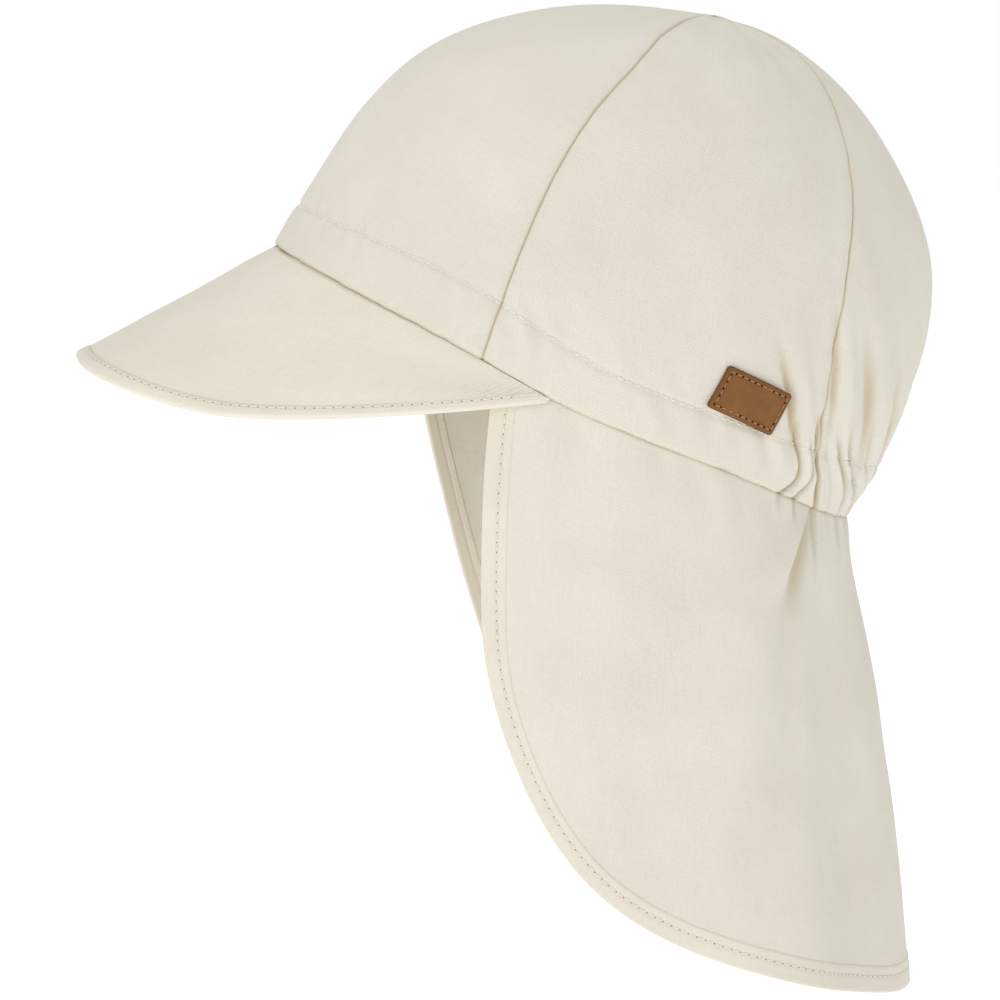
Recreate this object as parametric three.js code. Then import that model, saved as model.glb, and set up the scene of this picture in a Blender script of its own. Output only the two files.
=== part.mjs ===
// A child's sun cap with a peak and a long neck flap, in the form it has on a head.
// Lengths are millimetres and angles are degrees.
// The wearer faces -X, the wearer's left is -Y and +Z is up.
// The origin is the middle of the head opening, in the plane of the crown's hem.
// Angles round the cap start at the front and run over the left side to the back.

import * as THREE from "three";

// Sizes of the crown
const headLength = 172.5;
const headWidth = 148;
const crownHeight = 107.6;
const hemSag = 2.2;
const hemSagAngle = 85;
const hemSagWidth = 19;
const wearTilt = 26;
const crownTopRise = 0.992;

// Sizes of the cloth and the seams
const crownThickness = 1.2;
const bandThickness = 1;
const flapThickness = 1.1;
const flapBindingThickness = 1.9;
const peakThickness = 2.2;
const peakBindingThickness = 3;
const seamGap = 0.35;

// Sizes of the band inside the hem, and of the gathers that its elastic draws up
const bandHeight = 13.5;
const bandLift = 0.8;
const bandClearance = 0.65;
const gatherAngle = 139;
const gatherSettle = 6;
const gatherCount = 10;
const gatherDepth = 2.2;
const gatherRise = 16;
const gatherFall = 34;

// Sizes of the peak
const peakEndAngle = 80;
const peakForward = 34.5;
const peakDrop = 45;
const peakHollow = 0.2;
const peakPanelShare = 0.9;
const peakBindingShare = 0.975;
const peakBindingWidth = 4.6;

// Sizes of the neck flap
const flapLength = 130.8;
const flapTopLeft = 68;
const flapTopRight = 61;
const flapBindingWidth = 7.3;
const flapSideLean = 2;
const flapBackLean = 7.8;
const flapTuckAngle = 12;

// Sizes of the leather tag
const tagWidth = 21;
const tagHeight = 12;
const tagThickness = 1.2;
const tagAngle = 111.8;
const tagMiddleHeight = 20.6;

// Sections of the crown from the hem to the point where its panels meet. Ahead, behind and
// side are shares of the hem's half length and half width, and their heights are shares
// of crownHeight
const crownSections = [
  { ahead: 0.992, aheadHeight: 0, behind: 1.01, behindHeight: 0, side: 1 },
  { ahead: 0.968, aheadHeight: 0.172, behind: 1.018, behindHeight: 0.188, side: 0.991 },
  { ahead: 0.946, aheadHeight: 0.343, behind: 1.002, behindHeight: 0.383, side: 0.955 },
  { ahead: 0.895, aheadHeight: 0.51, behind: 0.942, behindHeight: 0.573, side: 0.881 },
  { ahead: 0.786, aheadHeight: 0.657, behind: 0.814, behindHeight: 0.74, side: 0.768 },
  { ahead: 0.629, aheadHeight: 0.77, behind: 0.622, behindHeight: 0.866, side: 0.632 },
  { ahead: 0.451, aheadHeight: 0.86, behind: 0.413, behindHeight: 0.953, side: 0.47 },
  { ahead: 0.258, aheadHeight: 0.931, behind: 0.183, behindHeight: 0.996, side: 0.265 },
  { ahead: 0.058, aheadHeight: 0.986, behind: -0.058, behindHeight: 0.986, side: 0 },
];

// The angles at which the front and rear seams cross the sections
const crownSeams = [
  { front: 66, rear: 139 },
  { front: 63.5, rear: 130 },
  { front: 62, rear: 125 },
  { front: 61.5, rear: 123 },
  { front: 61.5, rear: 124 },
  { front: 61, rear: 128 },
  { front: 58, rear: 135 },
  { front: 55, rear: 142 },
  { front: 53, rear: 146 },
];

// Soft upright folds of the crown above the elastic: the height is where the fold
// is deepest, as a share of crownHeight, and the depth is a share of gatherDepth
const crownFolds = [
  { angle: 121, width: 4, height: 0.3, reach: 0.16, depth: 0.8 },
  { angle: 143, width: 4, height: 0.28, reach: 0.17, depth: 0.9 },
  { angle: 163, width: 5, height: 0.24, reach: 0.14, depth: 0.6 },
];

// The peak's outer edge from its middle to its end: forward is a share of the way from
// the end to the tip, side of the end's distance from the middle, drop of peakDrop
const peakEdge = [
  { forward: 1, side: 0, drop: 0.95 },
  { forward: 0.975, side: 0.259, drop: 0.995 },
  { forward: 0.86, side: 0.5, drop: 1.015 },
  { forward: 0.68, side: 0.708, drop: 0.9 },
  { forward: 0.466, side: 0.867, drop: 0.655 },
  { forward: 0.236, side: 0.967, drop: 0.35 },
  { forward: 0, side: 1, drop: 0.02 },
];

// The flap's lower edge from the foot of its front edge to the middle of the back:
// the angles on the wearer's left and right, and the drop as a share of flapLength
const flapEdge = [
  { left: 68, right: 81, drop: 0.62 },
  { left: 72, right: 86, drop: 0.745 },
  { left: 78.5, right: 91, drop: 0.85 },
  { left: 87.5, right: 98, drop: 0.93 },
  { left: 101, right: 108, drop: 0.978 },
  { left: 116, right: 119, drop: 0.99 },
  { left: 134, right: 135, drop: 0.985 },
  { left: 148, right: 148, drop: 0.987 },
  { left: 163, right: 163, drop: 0.994 },
  { left: 180, right: 180, drop: 1 },
];

// Broad hanging folds of the flap: the depth is a share of flapFoldDepth, outwards if
// positive, and the drop where the fold is deepest is a share of flapLength
const flapFoldDepth = 4;
const flapFolds = [
  { angle: 84, width: 9, drop: 0.75, reach: 0.5, depth: 0.45 },
  { angle: 104, width: 9, drop: 0.85, reach: 0.5, depth: -0.4 },
  { angle: 128, width: 8, drop: 0.8, reach: 0.55, depth: 0.5 },
  { angle: 146, width: 6, drop: 0.45, reach: 0.5, depth: -0.9 },
  { angle: 160, width: 7, drop: 0.7, reach: 0.5, depth: 0.7 },
  { angle: 180, width: 7, drop: 0.6, reach: 0.5, depth: -0.4 },
];

// The crown's panels from seam to seam; the gathered back takes the most columns
const crownPanels = [
  { name: "crown_front", seams: ["rightFront", "leftFront"], columns: 20 },
  { name: "crown_side_left", seams: ["leftFront", "leftRear"], columns: 14 },
  { name: "crown_back", seams: ["leftRear", "rightRear"], columns: 50 },
  { name: "crown_side_right", seams: ["rightRear", "rightFront"], columns: 14 },
];

const halfLength = headLength / 2;
const halfWidth = headWidth / 2;
const { degToRad, lerp, smoothstep } = THREE.MathUtils;
const down = new THREE.Vector3(0, 0, -1);

// The value of a table's column at a share of the way down its rows, smoothed
function tableValue(table, column, share) {
  const place = THREE.MathUtils.clamp(share, 0, 1) * (table.length - 1);
  const row = Math.min(Math.floor(place), table.length - 2);
  const t = place - row;
  const at = (i) => table[THREE.MathUtils.clamp(i, 0, table.length - 1)][column];
  const startSlope = (at(row + 1) - at(row - 1)) / 2;
  const endSlope = (at(row + 2) - at(row)) / 2;
  const a = 2 * (at(row) - at(row + 1)) + startSlope + endSlope;
  const b = 3 * (at(row + 1) - at(row)) - 2 * startSlope - endSlope;
  return ((a * t + b) * t + startSlope) * t + at(row);
}

// A soft bump, one at its middle and near nought a width away
function bump(value, middle, width) {
  return Math.exp(-(((value - middle) / width) ** 2));
}

// How far an angle lies from the front, the same on both sides
function fromFront(angle) {
  const turn = ((angle % 360) + 360) % 360;
  return Math.min(turn, 360 - turn);
}

// The gathers' in and out, nought outside the elastic's stretch
function gatherWave(angle) {
  const inZone = smoothstep(fromFront(angle), gatherAngle, gatherAngle + gatherSettle);
  const share = (angle - gatherAngle) / (360 - 2 * gatherAngle);
  return inZone * (Math.cos(share * gatherCount * 2 * Math.PI) - 1) * 0.5;
}

// How far the crown's cloth lies out from its smooth form
function crownRelief(angle, height) {
  const above = Math.max(0, height - bandHeight) / gatherRise;
  let relief = gatherDepth * gatherWave(angle) * Math.exp(-(above ** 2));
  for (const fold of crownFolds) {
    const across = bump(fromFront(angle), fold.angle, fold.width);
    const along = bump(height / crownHeight, fold.height, fold.reach);
    relief -= gatherDepth * fold.depth * across * along;
  }
  return relief;
}

// A point of the crown's smooth outside, in the crown's own frame, where the hem is level.
// rise runs from 0 at the hem to 1 where the panels meet
function crownForm(angle, rise) {
  const turn = degToRad(angle);
  const row = (column) => tableValue(crownSections, column, rise);
  const forward = (1 + Math.cos(turn)) / 2;
  const sag = hemSag * bump(fromFront(angle), hemSagAngle, hemSagWidth) * (1 - rise) ** 3;
  return new THREE.Vector3(
    halfLength * lerp(row("behind"), -row("ahead"), forward),
    -halfWidth * row("side") * Math.sin(turn),
    crownHeight * lerp(row("behindHeight"), row("aheadHeight"), forward) - sag,
  );
}

// The direction square to the crown's smooth outside
function crownNormal(angle, rise) {
  const step = 0.5;
  const riseStep = 0.01;
  const lower = Math.max(rise - riseStep, 0);
  const upper = Math.min(rise + riseStep, crownTopRise);
  const round = crownForm(angle + step, rise).sub(crownForm(angle - step, rise));
  const up = crownForm(angle, upper).sub(crownForm(angle, lower));
  return round.cross(up).normalize();
}

// A point of the crown's cloth, inset under its outside by a depth
function crownCloth(angle, rise, depth) {
  const form = crownForm(angle, rise);
  const relief = crownRelief(angle, form.z);
  return form.addScaledVector(crownNormal(angle, rise), relief - depth);
}

// The rise at which the crown's side has a height over the hem
function riseAt(height) {
  const halvings = 30;
  let low = 0;
  let high = 0.5;
  for (let i = 0; i < halvings; i += 1) {
    const middle = (low + high) / 2;
    if (crownForm(90, middle).z - crownForm(90, 0).z < height) low = middle;
    else high = middle;
  }
  return low;
}

// The angle a share of the way across a panel, a trim in from its seams
function panelAngle(panel, rise, across, trim) {
  const frontSeam = tableValue(crownSeams, "front", rise);
  const rearSeam = tableValue(crownSeams, "rear", rise);
  const angles = {
    leftFront: frontSeam,
    leftRear: rearSeam,
    rightRear: 360 - rearSeam,
    rightFront: panel.name === "crown_front" ? -frontSeam : 360 - frontSeam,
  };
  const [from, to] = panel.seams.map((seam) => angles[seam]);
  return lerp(from + trim, to - trim, across);
}

// A closed shell of cloth over a grid of columns and rows. outside and inside give the
// points of its two faces from shares across and along; a ring joins its own ends
function clothShell(columns, rows, ring, outside, inside) {
  const stride = ring ? columns : columns + 1;
  const layer = stride * (rows + 1);
  const points = [];
  for (const face of [outside, inside])
    for (let j = 0; j <= rows; j += 1)
      for (let i = 0; i < stride; i += 1) points.push(...face(i / columns, j / rows));
  const at = (face, i, j) => face * layer + j * stride + (i % stride);
  const triangles = [];
  const quad = (a, b, c, d) => triangles.push(a, b, c, a, c, d);
  for (let j = 0; j < rows; j += 1)
    for (let i = 0; i < columns; i += 1) {
      quad(at(0, i, j), at(0, i + 1, j), at(0, i + 1, j + 1), at(0, i, j + 1));
      quad(at(1, i, j), at(1, i, j + 1), at(1, i + 1, j + 1), at(1, i + 1, j));
    }
  for (let i = 0; i < columns; i += 1) {
    quad(at(0, i, 0), at(1, i, 0), at(1, i + 1, 0), at(0, i + 1, 0));
    quad(at(0, i, rows), at(0, i + 1, rows), at(1, i + 1, rows), at(1, i, rows));
  }
  for (let j = 0; j < rows && !ring; j += 1) {
    quad(at(0, 0, j), at(0, 0, j + 1), at(1, 0, j + 1), at(1, 0, j));
    quad(at(0, columns, j), at(1, columns, j), at(1, columns, j + 1), at(0, columns, j + 1));
  }
  const geometry = new THREE.BufferGeometry();
  geometry.setAttribute("position", new THREE.Float32BufferAttribute(points, 3));
  geometry.setIndex(triangles);
  geometry.computeVertexNormals();
  return geometry;
}

// A panel of the crown between two seams, a gap clear of its neighbours
function crownPanel(panel) {
  const rows = 11;
  const bandRise = riseAt(bandHeight);
  const face = (depth) => (across, along) => {
    const row = along * rows;
    const rise = row < 1 ? bandRise * row : lerp(bandRise, crownTopRise, (row - 1) / (rows - 1));
    const radius = Math.min(halfLength, halfWidth) * tableValue(crownSections, "side", rise);
    const trim = THREE.MathUtils.radToDeg(seamGap / radius);
    return crownCloth(panelAngle(panel, rise, across, trim), rise, depth);
  };
  return clothShell(panel.columns, rows, false, face(0), face(crownThickness));
}

// The band of cloth inside the hem, which holds the elastic
function innerBand() {
  const places = crownPanels.flatMap((panel) =>
    Array.from({ length: panel.columns }, (_, i) => ({ panel, across: i / panel.columns })),
  );
  const rows = 1;
  const depth = crownThickness + bandClearance;
  const face = (inset) => (across, along) => {
    const place = places[Math.round(across * places.length)];
    const rise = riseAt(lerp(bandLift, bandHeight - seamGap, along));
    return crownCloth(panelAngle(place.panel, rise, place.across, 0), rise, inset);
  };
  return clothShell(places.length, rows, true, face(depth), face(depth + bandThickness));
}

// A blank leather tag that lies on the crown
function leatherTag() {
  const columns = 6;
  const rows = 4;
  const middle = crownForm(tagAngle, riseAt(tagMiddleHeight));
  const degree = middle.distanceTo(crownForm(tagAngle + 1, riseAt(tagMiddleHeight)));
  const lift = tagThickness + seamGap;
  const face = (outset) => (across, along) => {
    const angle = tagAngle + ((across - 0.5) * tagWidth) / degree;
    const height = tagMiddleHeight + (along - 0.5) * tagHeight;
    const rise = riseAt(height);
    return crownForm(angle, rise).addScaledVector(crownNormal(angle, rise), outset);
  };
  return clothShell(columns, rows, false, face(lift), face(seamGap));
}

// A point of the peak's root, just under the hem; share runs from -1 on the right to 1
function peakRoot(share) {
  const hem = crownForm(peakEndAngle * share, 0);
  return hem.setZ(hem.z - seamGap);
}

// A point of the peak's outer edge
function peakTip(share) {
  const end = peakRoot(1);
  const row = Math.abs(share);
  const forward = tableValue(peakEdge, "forward", row);
  return new THREE.Vector3(
    lerp(end.x, -halfLength - peakForward, forward),
    end.y * tableValue(peakEdge, "side", row) * Math.sign(share),
    end.z - peakDrop * tableValue(peakEdge, "drop", row),
  );
}

// A point of the peak's upper face; reach runs from 0 at the root to 1 at the edge
function peakForm(share, reach) {
  const root = peakRoot(share);
  const tip = peakTip(share);
  const hollow = peakHollow * Math.sin(Math.PI * reach) * (1 - share ** 2);
  return root.lerp(tip, reach).add(new THREE.Vector3(hollow, 0, -hollow));
}

// A point under the peak's upper face
function peakCloth(share, reach, depth) {
  const step = 0.01;
  const round = peakForm(share + step, reach).sub(peakForm(share - step, reach));
  const out = peakForm(share, reach + step).sub(peakForm(share, reach - step));
  const normal = out.cross(round).normalize();
  return peakForm(share, reach).addScaledVector(normal, -depth);
}

// The reach at which the binding's inner side lies, a width in from the edge
function peakBindingReach(share, inset) {
  const rib = peakRoot(share).distanceTo(peakTip(share));
  return Math.max(0, 1 - inset / rib);
}

// The stiff panel of the peak, inside its binding
function peakPanel() {
  const columns = 28;
  const rows = 5;
  const face = (depth) => (across, along) => {
    const share = lerp(peakPanelShare, -peakPanelShare, across);
    const end = peakBindingReach(share, peakBindingWidth + seamGap);
    return peakCloth(share, end * along, depth);
  };
  return clothShell(columns, rows, false, face(0), face(peakThickness));
}

// The binding sewn round the peak's edge, a little thicker than the panel
function peakBinding() {
  const columns = 34;
  const rows = 3;
  const roundness = 0.9;
  const swell = (peakBindingThickness - peakThickness) / 2;
  const face = (lower) => (across, along) => {
    const share = lerp(peakBindingShare, -peakBindingShare, across);
    const start = peakBindingReach(share, peakBindingWidth);
    const round = Math.sqrt(1 - (along * roundness) ** 4);
    const middle = peakThickness / 2;
    const half = (middle + swell) * round;
    return peakCloth(share, lerp(start, 1, along), lower ? middle + half : middle - half);
  };
  return clothShell(columns, rows, false, face(false), face(true));
}

// A point of the hem in the part's frame, where the crown is tilted back
function hemPoint(angle) {
  const tuck = 1 - smoothstep(fromFront(angle), peakEndAngle + 1, peakEndAngle + 1 + flapTuckAngle);
  const inset = seamGap + tuck * (peakThickness + seamGap);
  const hem = crownForm(angle, 0).addScaledVector(crownNormal(angle, 0), -inset);
  hem.z = crownForm(angle, 0).z - seamGap;
  return hem.applyAxisAngle(new THREE.Vector3(0, 1, 0), degToRad(wearTilt));
}

// The level direction outwards from the hem
function hemOutward(angle) {
  const normal = crownNormal(angle, 0).setZ(0);
  normal.x *= 1 / Math.cos(degToRad(wearTilt));
  return normal.normalize();
}

// How far the flap's cloth lies out from its smooth form
function flapRelief(angle, drop) {
  let relief = gatherDepth * gatherWave(angle) * Math.exp(-((drop / gatherFall) ** 2));
  for (const fold of flapFolds) {
    const across = bump(fromFront(angle), fold.angle, fold.width);
    const along = bump(drop / flapLength, fold.drop, fold.reach) * smoothstep(drop, 0, gatherFall);
    relief += flapFoldDepth * fold.depth * across * along;
  }
  return relief;
}

// A point of the flap's outer face, hanging from the hem
function flapCloth(angle, drop, depth) {
  const behind = Math.max(0, -Math.cos(degToRad(angle)));
  const lean = Math.tan(degToRad(lerp(flapSideLean, flapBackLean, behind)));
  const out = lean * drop + flapRelief(angle, drop) - depth;
  return hemPoint(angle).addScaledVector(down, drop).addScaledVector(hemOutward(angle), out);
}

// The flap's free edge as angles and drops, from the top of its left front edge round
// the back to the top of its right front edge
function flapOutline() {
  const frontSteps = 7;
  const lowerSteps = 36;
  const half = (side, top) => {
    const points = [];
    const foot = { angle: flapEdge[0][side], drop: flapEdge[0].drop * flapLength };
    for (let i = 0; i < frontSteps; i += 1) {
      const share = i / frontSteps;
      points.push({ angle: lerp(top, foot.angle, share), drop: foot.drop * share, front: true });
    }
    for (let i = 0; i <= lowerSteps; i += 1) {
      const share = i / lowerSteps;
      const drop = flapLength * tableValue(flapEdge, "drop", share);
      points.push({ angle: tableValue(flapEdge, side, share), drop });
    }
    return points;
  };
  const right = half("right", flapTopRight).map((p) => ({ ...p, angle: 360 - p.angle }));
  return half("left", flapTopLeft).concat(right.reverse().slice(1));
}

// The millimetres that one degree spans along the hem
function hemDegree(angle) {
  return hemPoint(angle - 0.5).distanceTo(hemPoint(angle + 0.5));
}

// The outline moved inwards over the cloth
function insetOutline(outline, inset) {
  return outline.map((point, i) => {
    const before = outline[Math.max(i - 1, 0)];
    const after = outline[Math.min(i + 1, outline.length - 1)];
    const scale = hemDegree(point.angle);
    const across = (after.angle - before.angle) * scale;
    const along = after.drop - before.drop;
    const length = Math.hypot(across, along);
    return {
      angle: point.angle + ((along / length) * inset) / scale,
      drop: Math.max(point.drop - (across / length) * inset, 0),
      front: point.front,
    };
  });
}

// The flap's panel of cloth, inside its binding. Its columns fan out from the hem to the
// lower edge, so that the first and the last follow the front edges
function flapPanel() {
  const rows = 9;
  const inset = flapBindingWidth + seamGap;
  const lower = insetOutline(flapOutline(), inset).filter((point) => !point.front);
  const columns = lower.length - 1;
  const first = lower[0].angle;
  const last = lower[columns].angle;
  const topFirst = flapTopLeft + inset / hemDegree(flapTopLeft);
  const topLast = 360 - flapTopRight - inset / hemDegree(flapTopRight);
  const face = (depth) => (across, along) => {
    const foot = lower[Math.round(across * columns)];
    const before = foot.angle < 180;
    const share = (180 - foot.angle) / (180 - (before ? first : last));
    const top = lerp(180, before ? topFirst : topLast, share);
    return flapCloth(lerp(top, foot.angle, along), foot.drop * along, depth);
  };
  return clothShell(columns, rows, false, face(flapThickness), face(0));
}

// The binding sewn along the flap's free edge, a little thicker than the panel
function flapBinding() {
  const outer = flapOutline();
  const inner = insetOutline(outer, flapBindingWidth);
  const columns = outer.length - 1;
  const rows = 2;
  const swell = (flapBindingThickness - flapThickness) / 2;
  const face = (depth) => (across, along) => {
    const i = Math.round(across * columns);
    const angle = lerp(inner[i].angle, outer[i].angle, along);
    return flapCloth(angle, lerp(inner[i].drop, outer[i].drop, along), depth);
  };
  return clothShell(columns, rows, false, face(flapThickness + swell), face(-swell));
}

function clothMaterial(color) {
  return new THREE.MeshStandardMaterial({
    color,
    roughness: 0.85,
    metalness: 0,
    side: THREE.DoubleSide,
  });
}

const creamCloth = clothMaterial(0xe3ddcc);
const bindingCloth = clothMaterial(0xe6dece);
const leather = clothMaterial(0x9a6437);

function piece(name, geometry, material) {
  const mesh = new THREE.Mesh(geometry, material);
  mesh.name = name;
  return mesh;
}

// The crown, the band and the peak share the crown's own frame, which is tilted back
const tilted = new THREE.Group();
tilted.rotation.y = degToRad(wearTilt);
for (const panel of crownPanels) tilted.add(piece(panel.name, crownPanel(panel), creamCloth));
tilted.add(
  piece("inner_band", innerBand(), creamCloth),
  piece("peak", peakPanel(), creamCloth),
  piece("peak_binding", peakBinding(), bindingCloth),
  piece("leather_tag", leatherTag(), leather),
);

const cap = new THREE.Group();
cap.add(
  tilted,
  piece("neck_flap", flapPanel(), creamCloth),
  piece("flap_binding", flapBinding(), bindingCloth),
);

export default cap;
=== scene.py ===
"""Looks of a child's sun cap with a peak and a long neck flap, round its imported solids.

Sizes are millimetres until a mesh is made, and angles are degrees. The wearer faces -X,
the wearer's left is -Y and +Z is up. Angles round the cap start at the front and run over
the left side to the back. A form has one function that gives its points, and a piece is
lofted from rings of such points, out along one face of the cloth and back on the other.
"""

import bmesh
import bpy
import numpy as np
from mathutils import Matrix, Vector


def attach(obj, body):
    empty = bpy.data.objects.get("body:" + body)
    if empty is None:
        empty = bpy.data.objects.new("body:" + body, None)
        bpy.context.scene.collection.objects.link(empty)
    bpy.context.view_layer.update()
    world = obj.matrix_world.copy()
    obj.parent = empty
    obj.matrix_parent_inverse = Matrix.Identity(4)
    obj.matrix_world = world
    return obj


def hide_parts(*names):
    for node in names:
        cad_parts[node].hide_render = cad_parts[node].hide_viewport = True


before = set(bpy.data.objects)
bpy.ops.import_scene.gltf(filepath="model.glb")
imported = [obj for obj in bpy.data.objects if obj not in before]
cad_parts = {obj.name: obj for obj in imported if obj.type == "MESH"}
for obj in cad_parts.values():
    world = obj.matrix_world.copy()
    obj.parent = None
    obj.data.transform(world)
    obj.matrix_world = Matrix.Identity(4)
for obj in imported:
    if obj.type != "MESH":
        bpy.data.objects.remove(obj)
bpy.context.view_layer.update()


def table(columns, *rows):
    """A short table as a dict that gives each named column as an array."""
    return dict(zip(columns.split(), np.array(rows, float).T))


# A millimetre in metres
METRES = 0.001

# Sizes of the crown and its cloth, where a degree spans DEGREE_SPAN along the hem
HEAD_LENGTH = 172.5
HEAD_WIDTH = 148
CROWN_HEIGHT = 107.6
HEM_SAG = 2.2
HEM_SAG_ANGLE = 85
HEM_SAG_WIDTH = 19
WEAR_TILT = 26
HALF_LENGTH = HEAD_LENGTH / 2
HALF_WIDTH = HEAD_WIDTH / 2
CROWN_THICKNESS = 1.0
TOP_RISE = 0.997
SEAM_ROLL = 0.5
SEAM_ROLL_WIDTH = 0.4
SEAM_RIDGE = 0.16
SEAM_RIDGE_INSET = 3.2
SEAM_PUCKER_REACH = 6
DEGREE_SPAN = 1.33

# Sizes of the band inside the hem and of the casing that its stitch line closes
BAND_HEIGHT = 12.9
BAND_THICKNESS = 0.8
BAND_DEPTH = 1.95
BAND_HEM_DEPTH = 1.4
BAND_MOST_INWARD = 3.2
BAND_MOST_OUTWARD = 0.12
BAND_VALLEY = 0.18
CASING_PUFF = 0.36
CASING_VALLEY = 0.4

# Sizes of the peak; its length and half its edge's length only place the weave
PEAK_END_ANGLE = 80
PEAK_FORWARD = 35.2
PEAK_DROP = 45
PEAK_HOLLOW = 0.2
PEAK_DENT = 0.5
PEAK_ROOT_INSET = 0.45
PEAK_ROOT_DROP = 0.05
PEAK_LENGTH = 60
PEAK_EDGE_HALF = 130
PEAK_THICKNESS = 2.2
PEAK_BINDING_WIDTH = 4.8
PEAK_BINDING_THICKNESS = 2.9
PEAK_STITCH_INSET = 3.5
PEAK_PANEL_SHARE = 0.978
PEAK_BINDING_SHARE = 0.996
PEAK_STITCH_SHARE = 0.93

# Sizes of the neck flap
FLAP_LENGTH = 130.8
FLAP_TOP_LEFT = 68
FLAP_TOP_RIGHT = 59.6
FLAP_TOP_LIFT = 0.3
FLAP_BOW_LEFT = 1.7
FLAP_BOW_RIGHT = 0.6
FLAP_BOW_REACH = 25
FLAP_THICKNESS = 0.9
FLAP_SIDE_LEAN = 2
FLAP_BACK_LEAN = 7.3
FLAP_TUCK_ANGLE = 12
FLAP_BINDING_WIDTH = 7.8
FLAP_BINDING_THICKNESS = 1.5
FLAP_STITCH_INSET = 4.6
FLAP_INNER_STITCH_INSET = 6.4
FLAP_PLEAT_SHARE = 0.8
FOLD_DEPTH = 4
SEAM_GAP = 0.35

# How far a panel runs under its binding, and the valley of a binding's stitch row
PANEL_LAP = 0.6
STITCH_VALLEY = 0.2

# Sizes of the leather tag
TAG_WIDTH = 21
TAG_HEIGHT = 12
TAG_THICKNESS = 1.2
TAG_ANGLE = 111.5
TAG_MIDDLE_HEIGHT = 19.6
TAG_TURN = 2.5
TAG_CORNER = 0.75
TAG_BEVEL = 0.42
TAG_GROOVE = 0.12
TAG_STITCH_INSET = 1.35
TAG_STITCH_DEPTH = 0.1

# Kinds of stitch: the pitch, the length and the radius of the thread and of a needle hole
EDGE_STITCH = 2.55, 2.05, 0.17, 0.24
CASING_STITCH = 2.55, 2.05, 0.2, 0.1
TAG_STITCH = 2.05, 1.45, 0.2, 0.36

# Uneven swells: how far each stands out, its size and the seed of its draw
CASING_SWELL = 0.42, 6.5, 3
HEM_SWELL = 0.22, 6, 4
SEAM_SWELL = 0.16, 8, 5
BROAD_SWELL = 0.42, 44, 6
FINE_SWELL = 0.1, 15, 7
FLAP_HEM_SWELL = 0.4, 7, 11
FLAP_BROAD_SWELL = 0.4, 46, 12
FLAP_FINE_SWELL = 0.12, 14, 13
PEAK_SWELL = 0.18, 30, 21
BAND_SWELL = 0.1, 9, 31
TAG_SWELL = 0.1, 9, 41

# Sections of the crown from the hem to the point where its panels meet, as shares of the
# hem's half length, its half width and the crown's height, and the angles of the seams
CROWN = table(
    "ahead ahead_height behind behind_height side front_seam rear_seam",
    (0.992, 0, 1.01, 0, 1, 66, 139),
    (0.968, 0.172, 1.018, 0.188, 0.991, 63.5, 130),
    (0.946, 0.343, 1.002, 0.383, 0.955, 62, 125),
    (0.895, 0.51, 0.942, 0.573, 0.881, 61.5, 123),
    (0.786, 0.657, 0.814, 0.74, 0.768, 61.5, 124),
    (0.629, 0.77, 0.622, 0.866, 0.632, 61, 128),
    (0.451, 0.86, 0.413, 0.953, 0.47, 58, 135),
    (0.258, 0.931, 0.183, 0.996, 0.265, 55, 142),
    (0.058, 0.986, -0.058, 0.986, 0, 53, 146),
)

# Height of the casing's stitch line over the hem
STITCH_LINE = table(
    "angle height",
    (0, 12),
    (30, 13.8),
    (55, 15.2),
    (72, 14),
    (88, 12.6),
    (105, 12.6),
    (130, 14),
    (150, 15.4),
    (180, 16),
)

# Pleats that the elastic draws up: their angles at the hem, at the casing's middle, at its
# stitch line and above it, the width and depth, and how far each runs over the stitch line
# and under the hem
PLEAT_HEIGHTS = np.array([0, 7, 14.5, 30.0])
PLEATS = table(
    "hem middle line above width depth over under",
    (128.4, 130.4, 126.2, 121.5, 0.8, 2.5, 5, 4),
    (132.4, 133.5, 129.4, 125.5, 0.7, 2.3, 3, 5),
    (139.4, 135.9, 131, 128, 1, 3.4, 8, 14),
    (145, 141, 135, 131, 1, 0.7, 3, 4),
    (151, 147.3, 139.4, 134, 1.2, 3, 5, 9),
    (161, 154.3, 144, 137.5, 1, 2.5, 9, 6),
    (168.5, 162.5, 154, 146, 1.2, 1.5, 12, 12),
    (177.5, 173, 166.5, 160, 1.4, 2, 14, 16),
)
PLEAT_GROWTH = 0.04
PLEAT_SHOULDER = 0.35
PLEAT_SHOULDER_WIDTH = 2.4
HEM_PULL = 1.5
HEM_PULL_HEIGHT = 10

# The far side has the same folds, each shifted by up to so many degrees and shallower
FAR_SHIFT = 1.6
FAR_SHARE = 0.85

# Soft upright folds of the crown over the elastic: the angle at a height, the lean, the
# width, the depth and the reach up and down
CROWN_FOLDS = table(
    "angle height lean width depth reach",
    (120.8, 22, 0.58, 1.5, 1.9, 12),
    (124, 24, 0.5, 2.2, -0.9, 14),
    (128, 33, 0.33, 1.6, 1.3, 15),
    (132.5, 32, 0.4, 2.6, -1.1, 16),
    (141.5, 30, 0.5, 3.6, 1.5, 15),
    (149, 30, 0.5, 3.6, -0.7, 15),
    (158, 28, 0.6, 3.6, 1.2, 14),
    (170, 34, 0.4, 5, 0.8, 16),
)

# The peak's outer edge from its middle to its end, as shares of the way forward, of the
# end's distance from the middle and of the peak's drop
PEAK_EDGE = table(
    "forward side drop",
    (1, 0, 1.06),
    (0.978, 0.259, 1.06),
    (0.86, 0.5, 1.025),
    (0.68, 0.708, 0.9),
    (0.466, 0.867, 0.655),
    (0.236, 0.967, 0.35),
    (0, 1, 0.02),
)

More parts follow.
